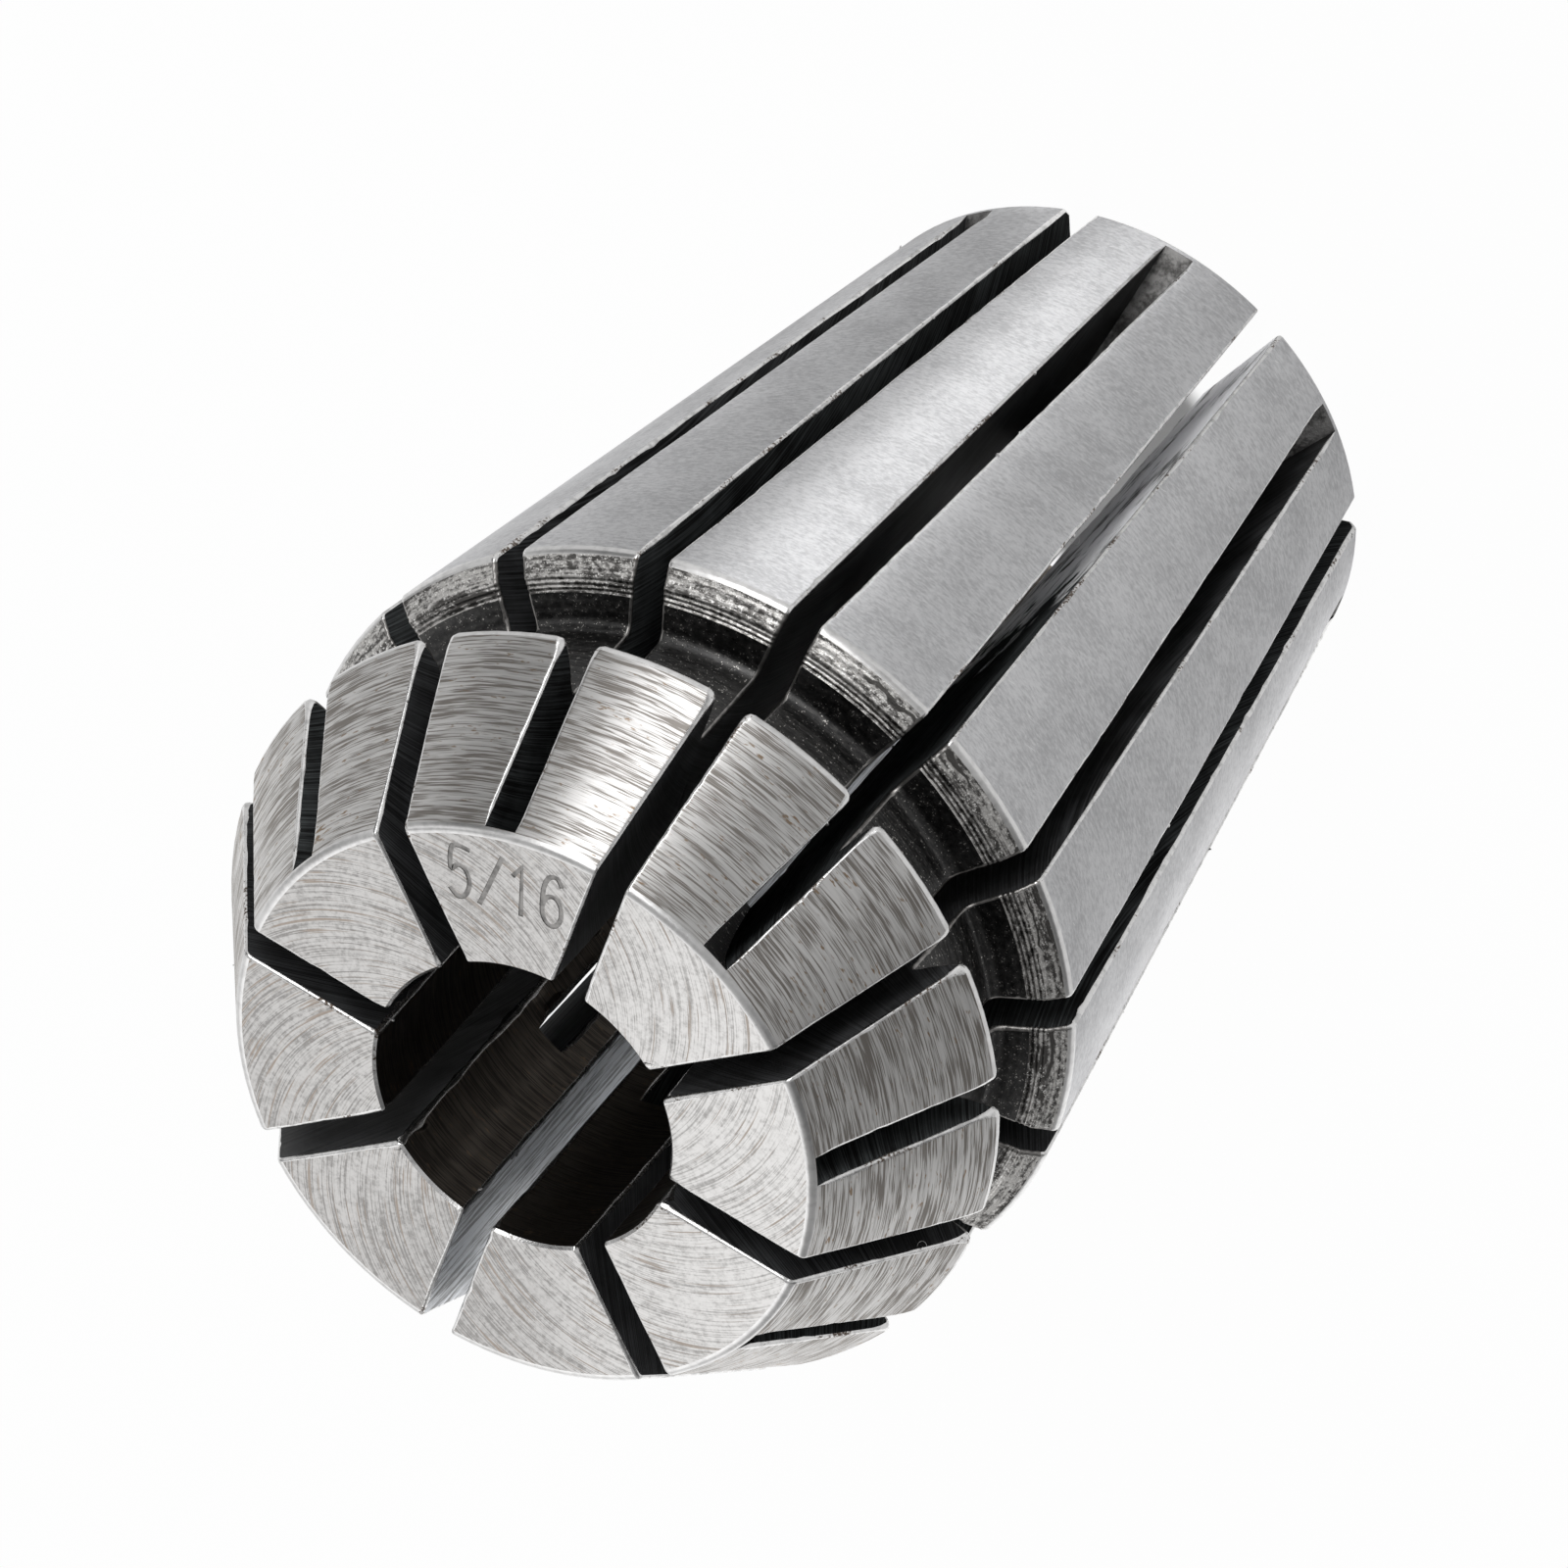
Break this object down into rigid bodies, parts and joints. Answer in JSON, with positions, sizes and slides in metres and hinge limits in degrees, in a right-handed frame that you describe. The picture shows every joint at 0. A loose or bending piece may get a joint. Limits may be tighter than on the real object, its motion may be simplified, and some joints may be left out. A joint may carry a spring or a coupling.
{
  "type": "spring collet",
  "caption": "Double-slotted spring collet with a long 8 degree body cone, a short 30 degree nose cone, a puller groove between them and a round through bore.",
  "frame": {"origin": "centre of the small end's flat face, on the collet's axis, where the collet stands", "axes": "+Z along the axis from the small end to the nose face; +X along the middle of one of the slots that are sawn from the nose"},
  "size_m": [0.021, 0.021, 0.0315],
  "materials": {
    "ground_steel": "hardened spring steel, ground bright on the cones and the nose face, black in the bore, the groove and the slots"
  },
  "bodies": {
    "root": {"collet": "ground_steel"}
  },
  "joints": []
}
